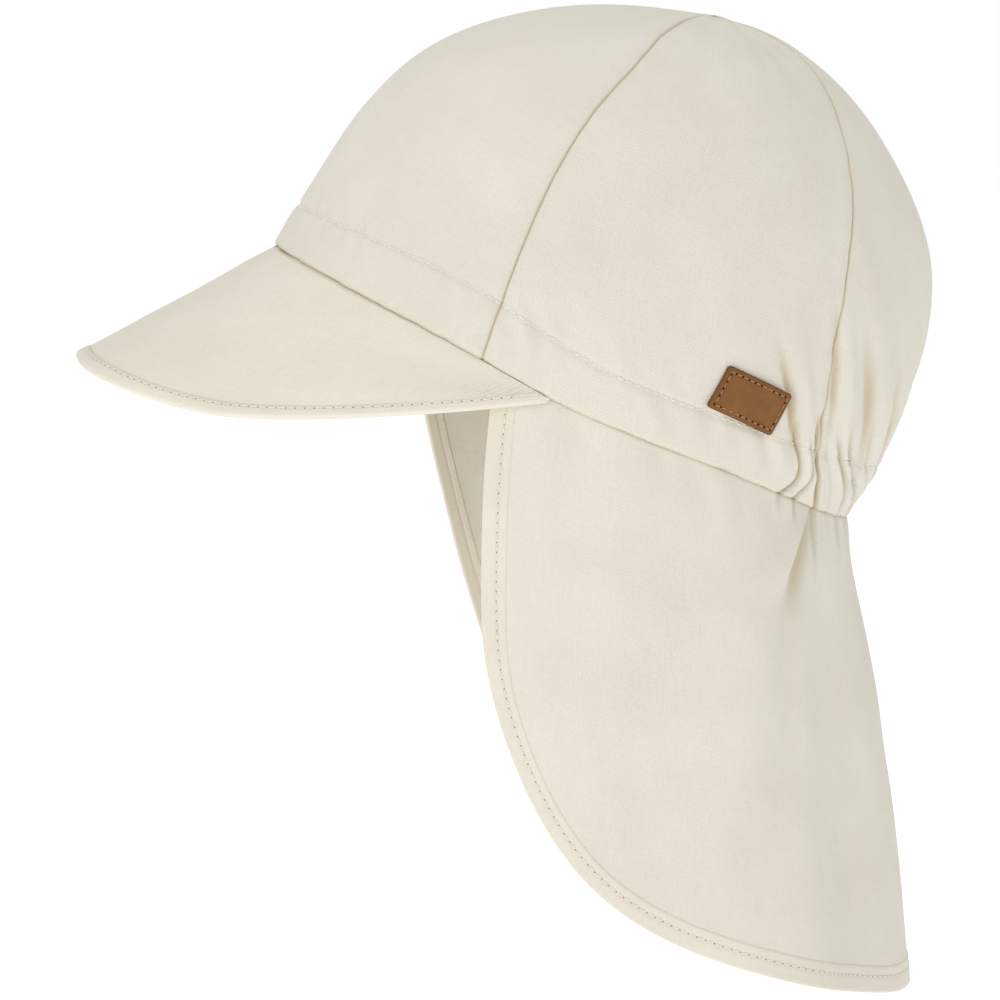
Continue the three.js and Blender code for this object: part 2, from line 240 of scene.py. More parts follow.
# The flap's lower edge from the foot of its front edge to the middle of the back
FLAP_EDGE = table(
    "left right drop",
    (67.2, 80.2, 0.62),
    (71.6, 85.4, 0.745),
    (78, 90.6, 0.85),
    (87.5, 98, 0.938),
    (101, 108, 0.988),
    (116, 119, 0.997),
    (134, 135, 0.991),
    (148, 148, 0.987),
    (163, 163, 0.984),
    (180, 180, 0.97),
)

# Broad hanging folds of the flap, outwards where the depth is positive
FLAP_FOLDS = table(
    "angle width drop reach depth",
    (84, 9, 0.75, 0.5, 0.45),
    (104, 9, 0.85, 0.5, -0.4),
    (128, 8, 0.8, 0.55, 0.5),
    (143, 8, 0.6, 0.55, -0.9),
    (168, 10, 0.75, 0.5, 0.5),
)

# Creases of the flap: the angle at the hem, how far it leans for each millimetre of drop,
# the width at the hem and how it grows, the depth, the height of the ridge on its front
# side, and the drops where it starts and ends
FLAP_CREASES = table(
    "angle lean width growth depth ridge start end",
    (138.6, -0.31, 1, 0.12, 3, 1.7, -4, 34),
    (131.5, -0.07, 5, 0.03, 2.3, 1.2, 14, 104),
    (152.5, 0.05, 0.9, 0.05, 1.6, 0.5, -3, 11),
    (168, -0.05, 2, 0.06, 1.2, 0.6, -4, 26),
)

# Linear colours, each with the darker tone that its pattern has
CREAM = (0.765, 0.728, 0.64, 1), (0.71, 0.67, 0.575, 1)
# The lighter binding cotton also covers the peak panel, where its lighter tone is partly the peak's
# own and partly painted light
BINDING = (0.79, 0.745, 0.645, 1), (0.735, 0.682, 0.575, 1)
THREAD = (0.86, 0.84, 0.77, 1), (0.76, 0.73, 0.65, 1)
# The needle holes are dark discs of painted shade, for the shade inside each hole
NEEDLE_HOLE_SHADE = (0.36, 0.3, 0.21, 1), (0.25, 0.2, 0.14, 1)
LEATHER = (0.3, 0.138, 0.044, 1), (0.15, 0.062, 0.018, 1)
TAN_THREAD = (0.48, 0.24, 0.11, 1), (0.33, 0.15, 0.06, 1)
# The holes in the leather are dark discs of painted shade too
LEATHER_HOLE_SHADE = (0.045, 0.022, 0.01, 1), (0.02, 0.01, 0.006, 1)
# Painted shade: the warm beige that cloth turns towards in its seam lines, creases, pleats, the inner
# edges of its bindings and a little over its inner faces
PAINTED_SHADE_COLOUR = (0.5, 0.39, 0.2, 1)
LEATHER_RIM = (0.1, 0.042, 0.014, 1)

# The studio, in metres and watts: a wide pale floor under large soft lights, one from the
# front of the cap, one from above and a weaker one from behind
FLOOR_LEVEL = -0.26
FLOOR_SIZE = 40
FLOOR_COLOUR = (0.93, 0.93, 0.93, 1)
FLOOR_GLOW = 0.47
WORLD_STRENGTH = 0.56
LIGHT_SIZE = 1.2
LIGHT_AIM = (0, 0, -0.04)
LIGHTS = (
    ("key_light", (-1.05, -1.35, 0.32), 6.8, (1, 0.99, 0.98)),
    ("top_light", (-0.1, 0.1, 1.5), 7, (1, 1, 1)),
    ("fill_light", (1.25, -0.95, 0.7), 1.9, (1, 1, 1)),
)

# The camera looks from the wearer's left, a little from the front and from above
CAMERA_TURN = 8
CAMERA_LIFT = 8.6
CAMERA_DISTANCE = 1400
CAMERA_RIGHT = -16.74
CAMERA_UP = -32.4
FRAME_WIDTH = 270
SENSOR_WIDTH = 36


def rows_of(columns):
    """The rows of a table."""
    return zip(*columns.values())


def mix(a, b, share):
    return a + (b - a) * share


def smooth_step(value, start, end):
    """A soft step from 0 at its start to 1 at its end."""
    t = np.clip((value - start) / (end - start), 0, 1)
    return t * t * (3 - 2 * t)


def bump(value, middle, width):
    """A soft bump, one at its middle and near nought a width and a half away."""
    return np.exp(-(((value - middle) / width) ** 2))


def spline(knots, values, places):
    """A natural cubic curve through values at knots, read at places."""
    gaps = np.diff(knots)
    size = len(knots)
    system = np.eye(size)
    bends = np.zeros(size)
    slopes = np.diff(values) / gaps
    for i in range(1, size - 1):
        system[i, i - 1 : i + 2] = gaps[i - 1], 2 * (gaps[i - 1] + gaps[i]), gaps[i]
        bends[i] = 6 * (slopes[i] - slopes[i - 1])
    second = np.linalg.solve(system, bends)
    i = np.clip(np.searchsorted(knots, places, side="right") - 1, 0, size - 2)
    t = places - knots[i]
    width = gaps[i]
    slope = slopes[i] - width * (2 * second[i] + second[i + 1]) / 6
    bend = second[i] / 2 + t * (second[i + 1] - second[i]) / (6 * width)
    return values[i] + t * (slope + t * bend)


def running_length(steps):
    """The length from the start to the end of each step."""
    return np.concatenate([[0], np.cumsum(steps)])


def along_rows(rows, column, share):
    """A table's column at a share of the way down its rows."""
    values = rows[column]
    return spline(np.linspace(0, 1, len(values)), values, np.asarray(share, float))


def from_front(angle):
    """How far an angle lies from the front, the same on both sides."""
    turn = np.mod(angle, 360)
    return np.minimum(turn, 360 - turn)


def ripple(u, v, swell):
    """A smooth uneven surface, given as its height, the size of its swells and a seed."""
    height, size, seed = swell
    waves = 9
    draw = np.random.default_rng(seed)
    total = np.zeros(np.broadcast(u, v).shape)
    for heading, phase, stretch in draw.random((waves, 3)):
        turn = 2 * np.pi * heading
        step = 2 * np.pi / (size * (0.7 + 0.8 * stretch))
        total += np.sin(step * (u * np.cos(turn) + v * np.sin(turn)) + 2 * np.pi * phase)
    return height * total / np.sqrt(waves)


def unit(vectors):
    """Vectors scaled to a length of 1."""
    return vectors / np.linalg.norm(vectors, axis=-1, keepdims=True)


def tilt(points):
    """Points of the crown's own frame, where the hem is level, in the worn position."""
    turn = np.radians(WEAR_TILT)
    x, y, z = np.moveaxis(points, -1, 0)
    back = x * np.cos(turn) + z * np.sin(turn)
    up = z * np.cos(turn) - x * np.sin(turn)
    return np.stack([back, y, up], -1)


def crown_form(angle, rise):
    """Points of the crown's smooth outside; rise is 0 at the hem and 1 where panels meet."""
    angle, rise = np.broadcast_arrays(np.asarray(angle, float), np.asarray(rise, float))
    turn = np.radians(angle)
    row = {name: along_rows(CROWN, name, rise) for name in list(CROWN)[:5]}
    forward = (1 + np.cos(turn)) / 2
    sag = HEM_SAG * bump(from_front(angle), HEM_SAG_ANGLE, HEM_SAG_WIDTH) * (1 - rise) ** 3
    x = HALF_LENGTH * mix(row["behind"], -row["ahead"], forward)
    y = -HALF_WIDTH * row["side"] * np.sin(turn)
    z = CROWN_HEIGHT * mix(row["behind_height"], row["ahead_height"], forward) - sag
    return np.stack([x, y, z], -1)


def crown_normal(angle, rise):
    """The direction square to the crown's smooth outside."""
    step = 0.5
    rise_step = 0.01
    lower = np.maximum(rise - rise_step, 0)
    upper = np.minimum(rise + rise_step, 0.999)
    across = crown_form(angle + step, rise) - crown_form(angle - step, rise)
    up = crown_form(angle, upper) - crown_form(angle, lower)
    return unit(np.cross(across, up))


def crown_height(angle, rise):
    """Height over the hem."""
    return crown_form(angle, rise)[..., 2] - crown_form(angle, 0)[..., 2]


def degree_span(angle, rise):
    """The millimetres that one degree spans."""
    return np.linalg.norm(crown_form(angle + 0.5, rise) - crown_form(angle - 0.5, rise), axis=-1)


def rise_at(angle, height):
    """The rise at which the crown has a height over the hem."""
    low = np.zeros(np.broadcast(angle, height).shape)
    high = low + 0.6
    for _ in range(26):
        middle = (low + high) / 2
        under = crown_height(angle, middle) < height
        low = np.where(under, middle, low)
        high = np.where(under, high, middle)
    return low


def stitch_height(angle):
    """Height of the casing's stitch line over the hem."""
    return spline(STITCH_LINE["angle"], STITCH_LINE["height"], from_front(angle))


def both_sides(angle, row):
    """Angles from the front on the left and on the right, each with its folds' share of the
    depth."""
    shift = FAR_SHIFT * np.sin(7 * row + 1)
    yield np.mod(angle, 360), 1
    yield 360 - np.mod(angle, 360) + shift, FAR_SHARE


def pleats(angle, height):
    """In and out of the pleats at a height over the hem, or under it where negative."""
    total = np.zeros(np.broadcast(angle, height).shape)
    level = np.clip(height, 0, 36)
    above = np.maximum(height - stitch_height(angle), 0)
    under = np.minimum(height, 0)
    for i, row in enumerate(rows_of(PLEATS)):
        width, depth, rise, fall = row[4:]
        route = spline(PLEAT_HEIGHTS, np.array(row[:4]), level)
        fade = bump(above, 0, rise) * bump(under, 0, fall)
        for turn, share in both_sides(angle, i):
            x = (turn - route) * DEGREE_SPAN / (width + PLEAT_GROWTH * above)
            shoulder = PLEAT_SHOULDER * bump(x, 0, PLEAT_SHOULDER_WIDTH)
            total -= depth * share * fade * (bump(x, 0, 1) - shoulder)
    return total


def elastic_pull(angle, height):
    """How far the elastic draws the back of the hem inwards."""
    return HEM_PULL * smooth_step(from_front(angle), 142, 164) * bump(height, 0, HEM_PULL_HEIGHT)


def crown_folds(angle, height):
    """In and out of the soft folds over the elastic."""
    total = np.zeros(np.broadcast(angle, height).shape)
    for i, row in enumerate(rows_of(CROWN_FOLDS)):
        middle, level, lean, width, depth, reach = row
        fade = bump(height, level, reach)
        for turn, share in both_sides(angle, i):
            x = (turn - middle + lean * (height - level)) * DEGREE_SPAN / width
            total -= depth * share * fade * bump(x, 0, 1)
    return total


def front_seam(rise):
    return along_rows(CROWN, "front_seam", rise)


def rear_seam(rise):
    return along_rows(CROWN, "rear_seam", rise)


def seam_distance(angle, rise):
    """Distance over the cloth to the nearest seam of the crown."""
    turn = from_front(angle)
    degrees = np.minimum(np.abs(turn - front_seam(rise)), np.abs(turn - rear_seam(rise)))
    return degrees * degree_span(angle, rise)


def crown_relief(angle, rise):
    """How far the crown's cloth lies out from its smooth form."""
    height = crown_height(angle, rise)
    line = stitch_height(angle)
    seam = seam_distance(angle, rise)
    u = angle * DEGREE_SPAN
    below_top = smooth_step(rise, 1, 0.93)
    relief = pleats(angle, height) + crown_folds(angle, height) - elastic_pull(angle, height)
    relief += CASING_PUFF * np.sin(np.pi * np.clip(height / line, 0, 1)) ** 0.8
    relief -= CASING_VALLEY * bump(height, line, 0.7)
    relief += bump(height, line - 1, 5) * ripple(u + 0.6 * height, 0.3 * height, CASING_SWELL)
    relief += bump(height, 0, 5) * ripple(u, 0.3 * height, HEM_SWELL)
    relief -= SEAM_ROLL * bump(np.minimum(height, 3), 0, SEAM_ROLL_WIDTH)
    relief -= SEAM_ROLL * below_top * bump(seam, 0, SEAM_ROLL_WIDTH)
    relief += SEAM_RIDGE * below_top * bump(seam, SEAM_RIDGE_INSET, 1.8)
    relief += bump(seam, 0, SEAM_PUCKER_REACH) * ripple(0.5 * u, height, SEAM_SWELL)
    relief += below_top * ripple(u, 0.8 * height, BROAD_SWELL)
    relief += below_top * ripple(u, 0.7 * height, FINE_SWELL)
    return relief


def crown_cloth(angle, rise, depth):
    """Points of the crown's cloth, a depth under its outside."""
    relief = crown_relief(angle, rise)
    return crown_form(angle, rise) + (relief - depth)[..., None] * crown_normal(angle, rise)


def hem_point(angle):
    """Points along the hem, where the flap's cloth starts."""
    tuck_start = PEAK_END_ANGLE + 1
    tuck = 1 - smooth_step(from_front(angle), tuck_start, tuck_start + FLAP_TUCK_ANGLE)
    inset = SEAM_GAP + tuck * (PEAK_THICKNESS + SEAM_GAP)
    form = crown_form(angle, 0)
    hem = form - inset[..., None] * crown_normal(angle, 0.0)
    hem[..., 2] = form[..., 2] + FLAP_TOP_LIFT
    return tilt(hem)


def hem_outward(angle):
    """The level direction outwards from the hem."""
    normal = crown_normal(angle, 0.0)
    normal[..., 2] = 0
    normal[..., 0] /= np.cos(np.radians(WEAR_TILT))
    return unit(normal)


def flap_creases(angle, drop):
    """In and out of the flap's own creases, with a ridge on the front side of each."""
    total = np.zeros(np.broadcast(angle, drop).shape)
    for i, row in enumerate(rows_of(FLAP_CREASES)):
        middle, lean, width, growth, depth, ridge, start, end = row
        length = end - start
        fade = smooth_step(drop, start, start + 0.3 * length)
        fade *= smooth_step(drop, end, end - 0.45 * length)
        for turn, share in both_sides(angle, i):
            x = (turn - middle - lean * drop) * DEGREE_SPAN / (width + growth * np.maximum(drop, 0))
            total += share * fade * (ridge * bump(x, -1.9, 1.5) - depth * bump(x, 0, 1))
    return total


def flap_relief(angle, drop):
    """How far the flap's cloth lies out from its smooth form."""
    turn = from_front(angle)
    u = angle * DEGREE_SPAN
    relief = FLAP_PLEAT_SHARE * pleats(angle, -drop) + flap_creases(angle, drop)
    relief -= elastic_pull(angle, 0.4 * drop)
    folds = FOLD_DEPTH * smooth_step(drop, 0, 34)
    for middle, width, level, reach, depth in rows_of(FLAP_FOLDS):
        relief += depth * folds * bump(turn, middle, width) * bump(drop / FLAP_LENGTH, level, reach)
    relief -= SEAM_ROLL * bump(drop, 0, SEAM_ROLL_WIDTH)
    relief += bump(drop, 1, 7) * ripple(u, 0.2 * drop, FLAP_HEM_SWELL)
    relief += smooth_step(drop, 8, 60) * ripple(u, 0.3 * drop, FLAP_BROAD_SWELL)
    return relief + ripple(u, 0.4 * drop, FLAP_FINE_SWELL)


def flap_cloth(angle, drop, depth):
    """Points of the flap's cloth, a depth under its outer face."""
    behind = np.maximum(0, -np.cos(np.radians(angle)))
    lean = np.tan(np.radians(mix(FLAP_SIDE_LEAN, FLAP_BACK_LEAN, behind)))
    outward = hem_outward(angle)
    near_hem = 1 - smooth_step(drop, 0, 14)
    out = unit(mix(outward, tilt(crown_normal(angle, 0.0)), near_hem[..., None]))
    fall = np.stack([0 * drop, 0 * drop, -drop], -1)
    hang = hem_point(angle) + fall + (lean * drop - depth)[..., None] * outward
    return hang + flap_relief(angle, drop)[..., None] * out


def flap_outline():
    """The flap's free edge as angles and drops, from the top of its left front edge round
    the back to the top of its right one, and the places of the two feet among them."""
    front_steps = 60
    lower_steps = 340
    sides = []
    fronts = ("left", FLAP_TOP_LEFT, FLAP_BOW_LEFT), ("right", FLAP_TOP_RIGHT, FLAP_BOW_RIGHT)
    for side, top, bow in fronts:
        foot = FLAP_EDGE[side][0], FLAP_EDGE["drop"][0] * FLAP_LENGTH
        straight = [
            (mix(top, foot[0], share) - bow * full, foot[1] * share)
            for share, full in ((0, 0), (0.35, 0.85), (0.7, 1))
        ]
        lower = list(zip(FLAP_EDGE[side], FLAP_EDGE["drop"] * FLAP_LENGTH))
        sides.append(straight + lower)
    right = [(360 - angle, drop) for angle, drop in sides[1]]
    knots = np.array(sides[0] + right[::-1][1:])
    steps = np.hypot(np.diff(knots[:, 0]) * DEGREE_SPAN, np.diff(knots[:, 1]))
    place = running_length(steps)
    feet = place[3], place[-4]
    at = np.concatenate(
        [
            np.linspace(0, feet[0], front_steps, endpoint=False),
            np.linspace(*feet, lower_steps, endpoint=False),
            np.linspace(feet[1], place[-1], front_steps + 1),
        ]
    )
    columns = front_steps, front_steps + lower_steps
    return spline(place, knots[:, 0], at), spline(place, knots[:, 1], at), columns


def inset_outline(angle, drop, inset):
    """The outline moved inwards over the cloth."""
    scale = np.linalg.norm(hem_point(angle + 0.5) - hem_point(angle - 0.5), axis=-1)
    across = np.gradient(angle) * scale
    along = np.gradient(drop)
    length = np.hypot(across, along)
    drop_in = drop - across / length * inset
    return angle + along / length * inset / scale, np.maximum(drop_in, 0)


def peak_row(column, share):
    """A column of the peak's edge at shares from -1 on the right to 1 on the left."""
    values = PEAK_EDGE[column]
    mirror = -1 if column == "side" else 1
    both = np.concatenate([mirror * values[:0:-1], values])
    return spline(np.linspace(-1, 1, len(both)), both, share)


def peak_root(share):
    """Points of the peak's root, just inside the hem."""
    hem = crown_form(PEAK_END_ANGLE * share, 0)
    root = hem - PEAK_ROOT_INSET * crown_normal(PEAK_END_ANGLE * share, 0.0)
    root[..., 2] = hem[..., 2] - PEAK_ROOT_DROP
    return root


def peak_form(share, reach):
    """Points of the peak's upper face; reach is 0 at the root and 1 at the edge."""
    share, reach = np.broadcast_arrays(np.asarray(share, float), np.asarray(reach, float))
    root = peak_root(share)
    end = peak_root(np.array(1.0))
    tip = np.stack(
        [
            mix(end[0], -HALF_LENGTH - PEAK_FORWARD, peak_row("forward", share)),
            end[1] * peak_row("side", share),
            end[2] - PEAK_DROP * peak_row("drop", share),
        ],
        -1,
    )
    hollow = PEAK_HOLLOW * np.sin(np.pi * reach) * (1 - share**2)
    dent = PEAK_DENT * bump(share, 0.48, 0.035) * bump(reach, 0.62, 0.3)
    sway = ripple(60 * share, 50 * reach, PEAK_SWELL) * smooth_step(reach, 0, 0.2)
    down = hollow + dent - sway
    return root + (tip - root) * reach[..., None] + down[..., None] * np.array([0.6, 0, -0.8])


def peak_cloth(share, reach, depth):
    """Points at a depth under the peak's upper face."""
    step = 0.01
    across = peak_form(share + step, reach) - peak_form(share - step, reach)
    out = peak_form(share, reach + step) - peak_form(share, reach - step)
    normal = unit(np.cross(out, across))
    return peak_form(share, reach) - np.asarray(depth)[..., None] * normal


def peak_reach(share, inset):
    """The reach that lies an inset in from the peak's edge."""
    rib = np.linalg.norm(peak_form(share, 1.0) - peak_form(share, 0.0), axis=-1)
    return np.clip(1 - inset / rib, 0.02, 1)


def make_mesh(name, points, faces, materials, attributes=None, face_slots=0):
    """An object from points in millimetres, a list of faces and values for each point. The
    faces of its first material are shaded smooth."""
    mesh = bpy.data.meshes.new(name)
    mesh.from_pydata((points * METRES).tolist(), [], faces)
    for material in materials:
        mesh.materials.append(material)
    for key, values in (attributes or {}).items():
        kind, field = ("FLOAT_VECTOR", "vector") if values.ndim == 2 else ("FLOAT", "value")
        layer = mesh.attributes.new(key, kind, "POINT")
        layer.data.foreach_set(field, values.astype(np.float32).ravel())
    work = bmesh.new()
    work.from_mesh(mesh)
    bmesh.ops.recalc_face_normals(work, faces=work.faces)
    work.to_mesh(mesh)
    work.free()
    slots = np.zeros(len(faces), np.int32) + np.asarray(face_slots, np.int32)
    mesh.polygons.foreach_set("material_index", slots)
    mesh.polygons.foreach_set("use_smooth", slots == 0)
    piece = bpy.data.objects.new(name, mesh)
    bpy.context.scene.collection.objects.link(piece)
    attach(piece, "root")
    return piece


def loft(name, rings, material, cloth_place, crease, closed=False):
    """A piece from columns of rings. A ring runs out along one face and back on the other,
    and the two ends are closed by strips between its faces unless the piece closes itself."""
    columns, size = rings.shape[:2]
    index = np.arange(columns * size).reshape(columns, size)
    this, after = (index, np.roll(index, -1, 0)) if closed else (index[:-1], index[1:])
    turned = np.roll(this, -1, 1)
    quads = [np.stack([this, after, np.roll(after, -1, 1), turned], -1).reshape(-1, 4)]
    if not closed:
        half = size // 2
        for ring in (index[0], index[-1]):
            back = ring[::-1]
            strip = np.stack([ring[: half - 1], ring[1:half], back[1:half], back[: half - 1]], -1)
            quads.append(strip)
    # The crease attribute is how far each point takes on painted shade on cloth, and the darker rim on
    # the leather tag
    attributes = {
        "cloth_place": cloth_place.reshape(-1, 3),
        "crease": np.clip(crease, 0, 1).reshape(-1),
    }
    faces = np.concatenate(quads).tolist()
    return make_mesh(name, rings.reshape(-1, 3), faces, [material], attributes)


def two_faced(outer, inner):
    """Rings from the points, or values, of two faces, each of columns by rows."""
    return np.concatenate([outer, inner[:, ::-1]], 1)


def shell(name, faces, material, place, creases, closed=False):
    """A piece lofted from the points of its outer and inner face and from the crease values of both,
    which set painted shade on cloth and the darker rim on the leather tag.
    """
    rings = two_faced(*faces)
    return loft(name, rings, material, two_faced(place, place), two_faced(*creases), closed)


def cloth_places(u, v):
    """Places on the flat cloth in millimetres, for its weave."""
    return np.stack([u, v, 0 * u], -1)


def clustered(count, ends):
    """Shares from 0 to 1 that lie closer together near both ends."""
    even = np.linspace(0, 1, count + 1)
    return even - ends * np.sin(2 * np.pi * even) / (2 * np.pi)


def crown_rows():
    """Rises of the crown's rows, close together near the hem."""
    low = np.linspace(0, 0.035, 12, endpoint=False)
    middle = np.linspace(0.035, 0.2, 34, endpoint=False)
    return np.concatenate([low, middle, np.linspace(0.2, TOP_RISE, 66)])


def crown_panel(node, start, end, columns, material):
    """One panel of the crown between two seams, each given as a function of the rise."""
    across, rise = np.meshgrid(clustered(columns, 0.75), crown_rows(), indexing="ij")
    angle = mix(start(rise), end(rise), across)
    seam = seam_distance(angle, rise)
    height = crown_height(angle, rise)
    faces = [crown_cloth(angle, rise, depth) for depth in (0, CROWN_THICKNESS)]
    middle = mix(start(rise), end(rise), 0.5)
    u = (angle - middle) * degree_span(middle, rise)
    v = running_length(np.linalg.norm(np.diff(faces[0][columns // 2], axis=0), axis=-1))
    place = cloth_places(u, v + 0 * u)
    # Painted shade: the seam lines, the hem, the casing's stitch line and the valleys of the pleats
    # and folds are darkened, and the inner face evenly a little
    line = 0.6 * bump(seam, 0, 0.3) + 0.6 * bump(np.maximum(height, 0), 0, 0.4)
    soft = 0.08 * bump(seam, 0, 2) + 0.05 * bump(height, stitch_height(angle), 0.6)
    folds = np.clip(-pleats(angle, height) - crown_folds(angle, height) - 0.25, 0, 2)
    crease = line + soft + 0.6 * folds
    inner_crease = 0.15 + 0 * crease
    faces = tilt(np.stack(faces))
    piece = shell(f"{node}_cloth", faces, material, place, (crease, inner_crease))
    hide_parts(node)


def mirrored(seam, start=360):
    """The same seam on the wearer's right side, its angles counted down from a start."""
    return lambda rise: start - seam(rise)


def crown_panels(material):
    """The four panels, whose edges meet in the seams."""
    right_rear = mirrored(rear_seam)
    crown_panel("crown_front", mirrored(front_seam, 0), front_seam, 170, material)
    crown_panel("crown_side_left", front_seam, rear_seam, 110, material)
    crown_panel("crown_back", rear_seam, right_rear, 190, material)
    crown_panel("crown_side_right", right_rear, mirrored(front_seam), 110, material)


def inner_band(material):
    """The band inside the hem, drawn up with the casing."""
    angle, share = np.meshgrid(np.arange(0, 360, 0.9), np.linspace(0, 1, 12), indexing="ij")
    height = BAND_HEIGHT * share
    rise = rise_at(angle, height)
    sway = pleats(angle, height) - elastic_pull(angle, height)
    sway += ripple(angle, 2 * height, BAND_SWELL) - BAND_VALLEY * bump(share, 0.9, 0.06)
    sway = np.clip(sway, -BAND_MOST_INWARD, BAND_MOST_OUTWARD)
    sway -= mix(BAND_HEM_DEPTH, BAND_DEPTH, smooth_step(share, 0, 0.5))
    normal = crown_normal(angle, rise)
    form = crown_form(angle, rise)
    faces = [form + (sway - depth)[..., None] * normal for depth in (0, BAND_THICKNESS)]
    place = cloth_places(angle * DEGREE_SPAN, height)
    # Painted shade along the valley near the band's upper edge
    crease = 0.4 * bump(share, 0.9, 0.05)
    faces = tilt(np.stack(faces))
    piece = shell("inner_band_cloth", faces, material, place, (crease, crease), closed=True)
    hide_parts("inner_band")


def binding_profile(width, thickness, stitch_inset):
    """A folded strip's cross section as insets from the edge and offsets from its middle:
    out along the upper face, round the edge and back along the lower face."""
    half = thickness / 2
    flat = np.linspace(width, half, 18)
    shoulder = 1 - 0.8 * bump(flat, width, 0.4)
    valley = STITCH_VALLEY * bump(flat, stitch_inset, 0.55)
    upper = np.stack([flat, half * shoulder - valley], -1)
    turn = np.radians(np.linspace(72, 18, 4))
    edge = np.stack([half * (1 - np.cos(turn)), half * np.sin(turn)], -1)
    near = np.concatenate([upper, edge])
    far = near[::-1] * [1, -1]
    return np.concatenate([near, far])


def binding_painted_shade(profile, width, stitch_inset):
    """How dark the painted shade is along the strip's inner edge and its stitch line."""
    inset = profile[:, 0]
    return 0.8 * bump(inset, width, 0.3) + 0.12 * bump(inset, stitch_inset, 0.5)


def peak_panel(material):
    """The stiff panel of the peak, which runs into its binding."""
    share, row = np.meshgrid(
        np.linspace(PEAK_PANEL_SHARE, -PEAK_PANEL_SHARE, 190), np.linspace(0, 1, 42), indexing="ij"
    )
    end = peak_reach(share, PEAK_BINDING_WIDTH - PANEL_LAP)
    reach = end * row
    faces = [peak_cloth(share, reach, depth + 0 * reach) for depth in (0, PEAK_THICKNESS)]
    place = cloth_places(faces[0][..., 1], reach * PEAK_LENGTH)
    # Painted shade along the peak's root, where it runs under the hem
    crease = 0.5 * bump(reach * PEAK_LENGTH, 0, 0.7)
    piece = shell("peak_cloth", tilt(np.stack(faces)), material, place, (crease, crease))
    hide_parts("peak")


def peak_binding(material):
    """The strip sewn round the peak's edge."""
    profile = binding_profile(PEAK_BINDING_WIDTH, PEAK_BINDING_THICKNESS, PEAK_STITCH_INSET)
    share, inset = np.meshgrid(
        np.linspace(PEAK_BINDING_SHARE, -PEAK_BINDING_SHARE, 260), profile[:, 0], indexing="ij"
    )
    offset = profile[:, 1] * mix(0.35, 1, smooth_step(np.abs(share), 1, 0.95))
    rings = peak_cloth(share, peak_reach(share, inset), PEAK_THICKNESS / 2 - offset)
    across = profile[:, 0] * np.sign(profile[:, 1])
    place = cloth_places(share * PEAK_EDGE_HALF, across + 0 * share)
    # Painted shade along the binding's inner edge and its stitch line
    crease = binding_painted_shade(profile, PEAK_BINDING_WIDTH, PEAK_STITCH_INSET) + 0 * share
    piece = loft("peak_binding_cloth", tilt(rings), material, place, crease)
    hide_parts("peak_binding")


def flap_panel(material):
    """The flap's sheet of cloth, whose columns fan out from the hem to its lower edge."""
    angle, drop, feet = flap_outline()
    inset = FLAP_BINDING_WIDTH - PANEL_LAP
    angle_in, drop_in = inset_outline(angle, drop, inset)
    foot_angle = angle_in[feet[0] : feet[1] + 1]
    foot_drop = drop_in[feet[0] : feet[1] + 1]
    top_first = FLAP_TOP_LEFT + inset / DEGREE_SPAN
    top_last = 360 - FLAP_TOP_RIGHT - inset / DEGREE_SPAN
    before = foot_angle < 180
    share = (180 - foot_angle) / (180 - np.where(before, foot_angle[0], foot_angle[-1]))
    top = mix(180, np.where(before, top_first, top_last), share)
    rows = np.concatenate([np.linspace(0, 0.03, 8, endpoint=False), np.linspace(0.03, 1, 110)])
    grid_angle = mix(top[:, None], foot_angle[:, None], rows)
    grid_drop = foot_drop[:, None] * rows
    for edge_angle, edge_drop, column in (
        (angle_in[: feet[0] + 1], drop_in[: feet[0] + 1], 0),
        (angle_in[feet[1] :][::-1], drop_in[feet[1] :][::-1], -1),
    ):
        bow = np.interp(grid_drop[column], edge_drop, edge_angle) - grid_angle[column]
        near = np.clip(1 - np.abs(top - top[column]) / FLAP_BOW_REACH, 0, 1) ** 2
        grid_angle += near[:, None] * bow[None, :]
    faces = [flap_cloth(grid_angle, grid_drop, depth) for depth in (0, FLAP_THICKNESS)]
    place = cloth_places(grid_angle * DEGREE_SPAN, grid_drop)
    # Painted shade along the hem seam at the flap's top and in the valleys of its pleats and creases,
    # fading out down the flap
    folds = np.clip(-pleats(grid_angle, -grid_drop) - flap_creases(grid_angle, grid_drop) - 0.25, 0, 2)
    crease = 0.6 * bump(grid_drop, 0, 0.4) + 0.3 * folds * (1 - smooth_step(grid_drop, 10, 45))
    piece = shell("neck_flap_cloth", faces, material, place, (crease, crease))
    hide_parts("neck_flap")
    return piece


def flap_binding(material):
    """The folded strip sewn along the flap's free edge."""
    angle, drop, _ = flap_outline()
    angle_in, drop_in = inset_outline(angle, drop, FLAP_BINDING_WIDTH)
    profile = binding_profile(FLAP_BINDING_WIDTH, FLAP_BINDING_THICKNESS, FLAP_STITCH_INSET)
    inward = profile[:, 0] / FLAP_BINDING_WIDTH
    grid_angle = mix(angle[:, None], angle_in[:, None], inward)
    grid_drop = mix(drop[:, None], drop_in[:, None], inward)
    rings = flap_cloth(grid_angle, grid_drop, FLAP_THICKNESS / 2 - profile[:, 1] + 0 * grid_drop)
    length = running_length(np.hypot(np.diff(angle) * DEGREE_SPAN, np.diff(drop)))
    across = profile[:, 0] * np.sign(profile[:, 1])
    place = cloth_places(length[:, None] + 0 * grid_drop, across + 0 * grid_drop)
    # Painted shade along the binding's inner edge and its stitch line
    crease = binding_painted_shade(profile, FLAP_BINDING_WIDTH, FLAP_STITCH_INSET) + 0 * grid_drop
    piece = loft("flap_binding_cloth", rings, material, place, crease)
    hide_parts("flap_binding")
    return piece


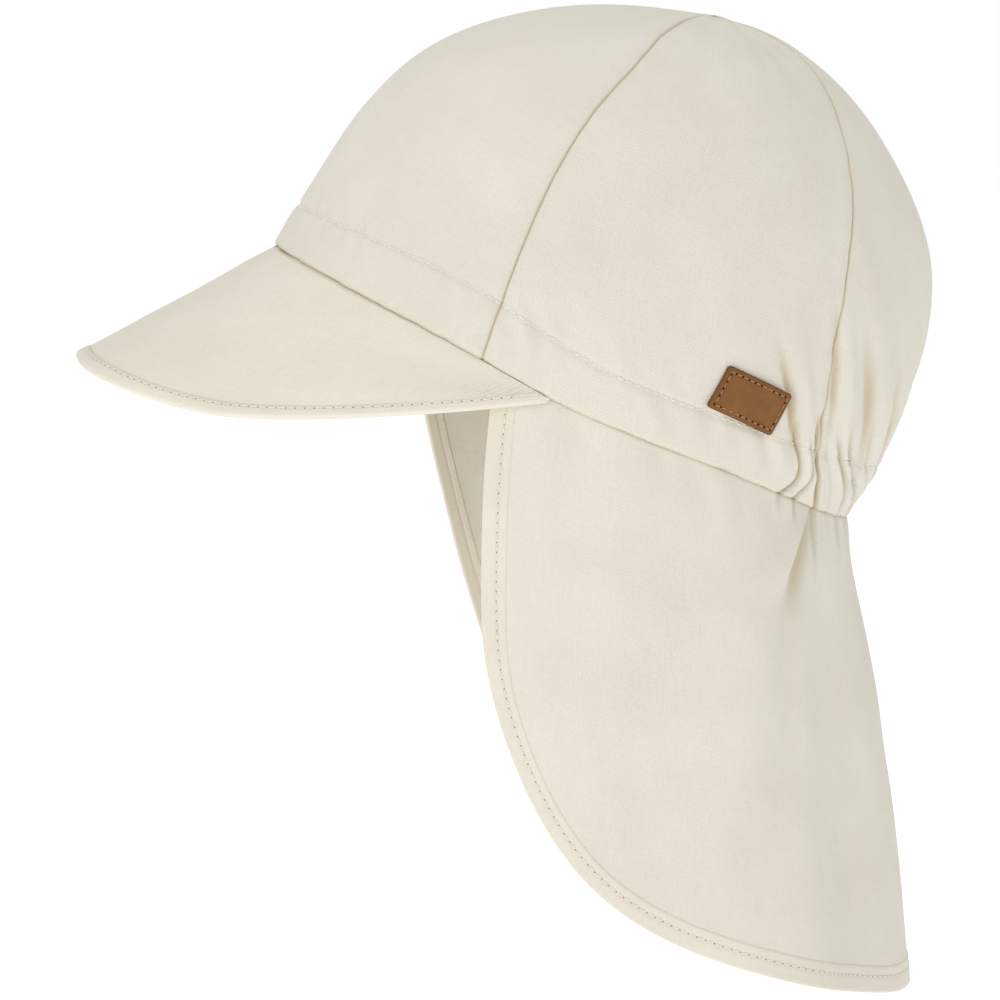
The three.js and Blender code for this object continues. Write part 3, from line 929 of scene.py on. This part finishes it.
def tag_place(across, up):
    """Angle and height on the crown of a place in the tag, from its middle."""
    middle = np.array(float(TAG_ANGLE))
    span = degree_span(middle, rise_at(middle, TAG_MIDDLE_HEIGHT))
    turn = np.radians(TAG_TURN)
    along = across * np.cos(turn) + up * np.sin(turn)
    return TAG_ANGLE + along / span, TAG_MIDDLE_HEIGHT + up * np.cos(turn) - across * np.sin(turn)


def tag_surface(across, up, lift):
    """Points of the tag at a lift over the crown, and the directions square to it."""
    angle, height = tag_place(across, up)
    rise = rise_at(angle, height)
    normal = crown_normal(angle, rise)
    return crown_form(angle, rise) + np.asarray(lift)[..., None] * normal, normal


def leather_tag(leather):
    """A blank leather tag with round corners and a bevelled edge."""
    v_share, u_share = np.meshgrid(clustered(38, -0.6), clustered(64, -0.6), indexing="ij")
    up = (v_share - 0.5) * TAG_HEIGHT
    over = np.maximum(np.abs(up) - (TAG_HEIGHT / 2 - TAG_CORNER), 0)
    half = TAG_WIDTH / 2 - TAG_CORNER + np.sqrt(np.maximum(TAG_CORNER**2 - over**2, 0))
    across = (u_share * 2 - 1) * half
    edge = np.minimum(half - np.abs(across), TAG_HEIGHT / 2 - np.abs(up))
    bevel = TAG_BEVEL * bump(edge, 0, 0.38)
    groove = TAG_GROOVE * bump(edge, TAG_STITCH_INSET, 0.35)
    swell = ripple(across, up, TAG_SWELL) * (edge > 0.3)
    top, _ = tag_surface(across, up, SEAM_GAP + TAG_THICKNESS - bevel - groove + swell)
    under, _ = tag_surface(across, up, SEAM_GAP + 0 * up)
    place = cloth_places(across, up)
    rim = bump(edge, 0, 0.5) + 0.4 * bump(edge, TAG_STITCH_INSET, 0.3)
    faces = tilt(np.stack([top, under]))
    piece = shell("leather_tag_hide", faces, leather, place, (rim, 1 + 0 * rim))
    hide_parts("leather_tag")


def stitch_axes(path, normals, at):
    """Points at lengths along a path, with the directions out of the cloth, ahead along the
    path and to its side."""
    place = running_length(np.linalg.norm(np.diff(path, axis=0), axis=-1))

    def read(values, lengths):
        return np.stack([np.interp(lengths, place, values[:, k]) for k in range(3)], -1)

    out = unit(read(normals, at))
    ahead = unit(read(path, at + 0.1) - read(path, at - 0.1))
    return read(path, at), out, ahead, np.cross(out, ahead)


def round_steps(sides):
    """The cosine and sine of the corners round a tube."""
    turn = 2 * np.pi * np.arange(sides) / sides
    return np.cos(turn)[:, None], np.sin(turn)[:, None]


def tube_walls(index):
    """The four-sided faces between the rings of tubes, from the numbers of their points."""
    lower, upper = index[:, :-1], index[:, 1:]
    walls = np.stack([lower, np.roll(lower, -1, 2), np.roll(upper, -1, 2), upper], -1)
    return walls.reshape(-1, 4).tolist()


def threads(path, normals, count, pitch, length, radius):
    """Points and faces of arched threads, whose ends dip into the cloth."""
    sides = 6
    shares = np.array([-1, -0.75, 0, 0.75, 1])
    at = (np.arange(count) + 0.5)[:, None] * pitch + shares * length / 2
    middle, out, _, side = stitch_axes(path, normals, at)
    lift = radius * (0.9 - 1.5 * shares**4)
    girth = radius * (1 - 0.45 * shares**4)
    cosine, sine = round_steps(sides)
    middle = middle + lift[:, None] * out
    round_offsets = cosine * side[:, :, None] + sine * out[:, :, None]
    rings = middle[:, :, None] + girth[:, None, None] * round_offsets
    index = np.arange(count * len(shares) * sides).reshape(count, len(shares), sides)
    return rings.reshape(-1, 3), tube_walls(index) + index[:, 0].tolist() + index[:, -1].tolist()


def needle_holes(path, normals, count, pitch, radius, first):
    """Points and faces of the dark discs of painted shade between threads, where the needle holes are,
    their points numbered from first.
    """
    sides = 8
    middle, out, ahead, side = stitch_axes(path, normals, np.arange(count) * pitch)
    cosine, sine = round_steps(sides)
    rim = middle[:, None] + radius * (cosine * ahead[:, None] + 0.8 * sine * side[:, None])
    top = rim + 0.05 * out[:, None]
    bottom = rim - 0.25 * out[:, None]
    index = first + np.arange(count * 2 * sides).reshape(count, 2, sides)
    faces = index[:, 0].tolist() + index[:, 1].tolist() + tube_walls(index)
    return np.stack([top, bottom], 1).reshape(-1, 3), faces


def sew(name, path, normals, materials, stitch=EDGE_STITCH):
    """A row of stitches along a path: arched threads, and a dark disc of painted shade at the needle
    hole between them.
    """
    pitch, length, radius, hole = stitch
    count = int(np.linalg.norm(np.diff(path, axis=0), axis=-1).sum() // pitch)
    points, faces = threads(path, normals, count, pitch, length, radius)
    hole_points, hole_faces = needle_holes(path, normals, count, pitch, hole, len(points))
    points = np.concatenate([points, hole_points])
    face_slots = [0] * len(faces) + [1] * len(hole_faces)
    piece = make_mesh(name, points, faces + hole_faces, materials, face_slots=face_slots)
    return piece


def smooth_normals(path, guide):
    """Directions square to a path, near a guide for each point."""
    ahead = unit(np.gradient(path, axis=0))
    return unit(guide - (guide * ahead).sum(-1, keepdims=True) * ahead)


def casing_stitches(materials):
    """The stitch line that closes the casing, round the whole crown."""
    angle = np.linspace(0, 360, 1500)
    rise = rise_at(angle, stitch_height(angle))
    path = tilt(crown_cloth(angle, rise, 0.0))
    normals = tilt(crown_normal(angle, rise))
    sew("casing_stitches", path, normals, materials, CASING_STITCH)


def peak_stitches(materials):
    """The stitch row on the upper and on the lower face of the peak's binding."""
    middle = PEAK_THICKNESS / 2
    lift = PEAK_BINDING_THICKNESS / 2 - STITCH_VALLEY
    share = np.linspace(PEAK_STITCH_SHARE, -PEAK_STITCH_SHARE, 900)
    reach = peak_reach(share, PEAK_STITCH_INSET)
    for name, side in (("upper", 1), ("lower", -1)):
        path = tilt(peak_cloth(share, reach, middle - side * lift + 0 * share))
        deeper = tilt(peak_cloth(share, reach, middle - side * (lift - 1) + 0 * share))
        sew(f"peak_stitches_{name}", path, unit(path - deeper), materials)


def flap_stitches(materials):
    """The stitch row on the outer and on the inner face of the flap's binding."""
    outline = flap_outline()[:2]
    pieces = []
    middle = FLAP_THICKNESS / 2
    lift = FLAP_BINDING_THICKNESS / 2 - STITCH_VALLEY
    for name, side, inset in (("outer", 1, FLAP_STITCH_INSET), ("inner", -1, FLAP_INNER_STITCH_INSET)):
        angle, drop = inset_outline(*outline, inset)
        angle, drop = angle[drop > 3], drop[drop > 3]
        path = flap_cloth(angle, drop, middle - side * lift)
        deeper = flap_cloth(angle, drop, middle - side * (lift - 1))
        normals = smooth_normals(path, path - deeper)
        pieces.append(sew(f"flap_stitches_{name}", path, normals, materials))
    return pieces


def tag_stitches(materials):
    """The rectangle of stitches just inside the tag's edge."""
    half_width = TAG_WIDTH / 2 - TAG_STITCH_INSET
    half_height = TAG_HEIGHT / 2 - TAG_STITCH_INSET
    corners = np.array([(-1, -1), (1, -1), (1, 1), (-1, 1), (-1, -1)])
    sides = [np.linspace(a, b, 60, endpoint=False) for a, b in zip(corners, corners[1:])]
    across, up = np.concatenate(sides).T
    lift = SEAM_GAP + TAG_THICKNESS - TAG_STITCH_DEPTH + 0 * up
    path, normals = tag_surface(across * half_width, up * half_height, lift)
    sew("tag_stitches", tilt(path), tilt(normals), materials, TAG_STITCH)


def new_material(name):
    """A material, with one helper that adds a node and one that feeds its shader."""
    material = bpy.data.materials.new(name)
    material.use_nodes = True
    tree = material.node_tree

    def feed(target, values):
        for key, value in values.items():
            if isinstance(value, bpy.types.NodeSocket):
                tree.links.new(value, target.inputs[key])
            else:
                target.inputs[key].default_value = value

    def node(kind, values, **settings):
        made = tree.nodes.new(f"ShaderNode{kind}")
        for key, value in settings.items():
            setattr(made, key, value)
        feed(made, values)
        return made

    def surface(values):
        feed(tree.nodes["Principled BSDF"], values)

    return material, node, surface


def math_node(node, operation, first, second=0.0):
    return node("Math", {0: first, 1: second}, operation=operation).outputs[0]


def colour_mix(node, share, first, second):
    return node("Mix", {0: share, 6: first, 7: second}, data_type="RGBA").outputs[2]


def noise(node, place, scale, detail, roughness=0.5):
    """Smooth noise over places on the cloth or in the object."""
    values = {"Vector": place, "Scale": scale, "Detail": detail, "Roughness": roughness}
    return node("TexNoise", values).outputs[0]


def relief_node(node, height, distance, strength):
    """Bumps from a height, whose distance is in metres."""
    return node("Bump", {"Height": height, "Distance": distance, "Strength": strength}).outputs[0]


def painted_shade_and_rim_share(node, most):
    """How far a piece takes on its second tone: painted shade in the creases and seam lines of cloth,
    and the darker rim of the leather tag.
    """
    crease = node("Attribute", {}, attribute_name="crease").outputs["Fac"]
    return math_node(node, "MULTIPLY", crease, most)


def cloth_material(name, light, dark):
    """Fine plain-weave cotton: threads, slubs along both threads and soft clouding, with painted shade
    in a warmer tone in its creases and seam lines."""
    thread_pitch = 0.34
    weave_depth = 0.00006
    material, node, surface = new_material(name)
    place = node("Attribute", {}, attribute_name="cloth_place").outputs["Vector"]
    parts = node("SeparateXYZ", {0: place})
    turn = np.pi / thread_pitch
    warp = math_node(node, "SINE", math_node(node, "MULTIPLY", parts.outputs[0], turn))
    weft = math_node(node, "SINE", math_node(node, "MULTIPLY", parts.outputs[1], turn))
    weave = math_node(node, "MULTIPLY", warp, weft)
    slubs = []
    for stretch in ((2.6, 0.12, 1), (0.12, 2.6, 1)):
        scaled = node("VectorMath", {0: place, 1: stretch}, operation="MULTIPLY").outputs[0]
        slubs.append(noise(node, scaled, 1.0, 2.0))
    slub = math_node(node, "ADD", *slubs)
    clouds = math_node(node, "MULTIPLY", noise(node, place, 0.035, 3.0), 0.9)
    tone = math_node(node, "ADD", math_node(node, "MULTIPLY", slub, 0.5), clouds)
    ramp = node("MapRange", {0: tone, 1: 0.7, 2: 1.2, 3: 0.0, 4: 1.0}).outputs[0]
    colour = colour_mix(node, ramp, dark, light)
    lumps = math_node(node, "MULTIPLY", slub, 1.2)
    height = math_node(node, "ADD", math_node(node, "MULTIPLY", weave, 0.5), lumps)
    # The base colour turns towards the warm painted shade colour where the crease attribute is high
    surface(
        {
            "Base Color": colour_mix(node, painted_shade_and_rim_share(node, 0.85), colour, PAINTED_SHADE_COLOUR),
            "Roughness": 0.8,
            "Specular IOR Level": 0.25,
            "Sheen Weight": 0.12,
            "Sheen Roughness": 0.45,
            "Normal": relief_node(node, height, weave_depth, 0.6),
        }
    )
    return material


def thread_material(name, light, dark):
    """Spun sewing thread, with a fine twist."""
    material, node, surface = new_material(name)
    twist = noise(node, node("TexCoord", {}).outputs["Object"], 2600.0, 1.0)
    colour = colour_mix(node, twist, dark, light)
    bumps = relief_node(node, twist, 0.00005, 0.6)
    surface({"Base Color": colour, "Roughness": 0.6, "Normal": bumps})
    return material


def hole_material(name, light, dark):
    """Painted shade in the hole that the needle leaves."""
    material, node, surface = new_material(name)
    speck = noise(node, node("TexCoord", {}).outputs["Object"], 900.0, 1.0)
    colour = colour_mix(node, speck, dark, light)
    surface({"Base Color": colour, "Roughness": 0.95, "Specular IOR Level": 0.05})
    return material


def leather_material(name, light, dark):
    """Tan leather with a fine grain, mottled and darker along its rim."""
    material, node, surface = new_material(name)
    where = node("TexCoord", {}).outputs["Object"]
    colour = colour_mix(node, noise(node, where, 260.0, 5.0, 0.65), dark, light)
    cells = node("TexVoronoi", {"Vector": where, "Scale": 1900.0}, feature="DISTANCE_TO_EDGE")
    pores = math_node(node, "MULTIPLY", cells.outputs["Distance"], 0.8)
    height = math_node(node, "ADD", pores, noise(node, where, 1200.0, 3.0))
    surface(
        {
            "Base Color": colour_mix(node, painted_shade_and_rim_share(node, 0.55), colour, LEATHER_RIM),
            "Roughness": 0.7,
            "Specular IOR Level": 0.18,
            "Normal": relief_node(node, height, 0.00012, 0.7),
        }
    )
    return material


def studio():
    """Floor, lights and world."""
    mesh = bpy.data.meshes.new("floor")
    half = FLOOR_SIZE / 2
    corners = [(-half, -half), (half, -half), (half, half), (-half, half)]
    mesh.from_pydata([(x, y, FLOOR_LEVEL) for x, y in corners], [], [(0, 1, 2, 3)])
    floor = bpy.data.objects.new("floor", mesh)
    bpy.context.scene.collection.objects.link(floor)
    material, _, surface = new_material("pale_floor")
    glow = {"Emission Color": (1, 1, 1, 1), "Emission Strength": FLOOR_GLOW}
    surface({"Base Color": FLOOR_COLOUR, "Roughness": 0.9, **glow})
    mesh.materials.append(material)
    for name, place, power, colour in LIGHTS:
        lamp = bpy.data.lights.new(name, "AREA")
        lamp.shape = "DISK"
        lamp.size = LIGHT_SIZE
        lamp.energy = power
        lamp.color = colour
        light = bpy.data.objects.new(name, lamp)
        light.location = place
        aim = Vector(LIGHT_AIM) - Vector(place)
        light.rotation_euler = aim.to_track_quat("-Z", "Y").to_euler()
        bpy.context.scene.collection.objects.link(light)
    world = bpy.data.worlds.new("studio_world")
    world.use_nodes = True
    background = world.node_tree.nodes["Background"]
    background.inputs[0].default_value = (1, 1, 1, 1)
    background.inputs[1].default_value = WORLD_STRENGTH
    bpy.context.scene.world = world
    bpy.context.scene.view_settings.view_transform = "Standard"


def camera():
    """The camera at the photograph's viewing angle."""
    turn, lift = np.radians(CAMERA_TURN), np.radians(CAMERA_LIFT)
    right = Vector((np.cos(turn), -np.sin(turn), 0))
    ahead = Vector((np.sin(turn) * np.cos(lift), np.cos(turn) * np.cos(lift), -np.sin(lift)))
    up = right.cross(ahead)
    place = (right * CAMERA_RIGHT + up * CAMERA_UP - ahead * CAMERA_DISTANCE) * METRES
    data = bpy.data.cameras.new("camera")
    data.sensor_width = SENSOR_WIDTH
    data.lens = SENSOR_WIDTH * CAMERA_DISTANCE / FRAME_WIDTH
    data.clip_end = 100
    holder = bpy.data.objects.new("camera", data)
    axes = Matrix((right, up, -ahead)).transposed().to_4x4()
    holder.matrix_world = Matrix.Translation(place) @ axes
    bpy.context.scene.collection.objects.link(holder)
    bpy.context.scene.camera = holder


def build():
    """Every piece of the cap, with its finish."""
    cream = cloth_material("cream_cotton", *CREAM)
    strip = cloth_material("binding_cotton", *BINDING)
    thread = thread_material("cream_thread", *THREAD)
    # The needle holes of cloth and leather are dark discs of painted shade
    hole = hole_material("needle_hole_shade", *NEEDLE_HOLE_SHADE)
    tan_thread = thread_material("tan_thread", *TAN_THREAD)
    tan_hole = hole_material("leather_hole_shade", *LEATHER_HOLE_SHADE)
    crown_panels(cream)
    inner_band(cream)
    # The peak panel takes the lighter binding cotton: partly the peak's own lighter tone, partly
    # painted light for the light on its upper face
    peak_panel(strip)
    peak_binding(strip)
    flap = flap_panel(cream)
    edge = flap_binding(strip)
    leather_tag(leather_material("tan_leather", *LEATHER))
    casing_stitches([thread, hole])
    peak_stitches([thread, hole])
    rows = flap_stitches([thread, hole])
    tag_stitches([tan_thread, tan_hole])


build()
studio()
camera()
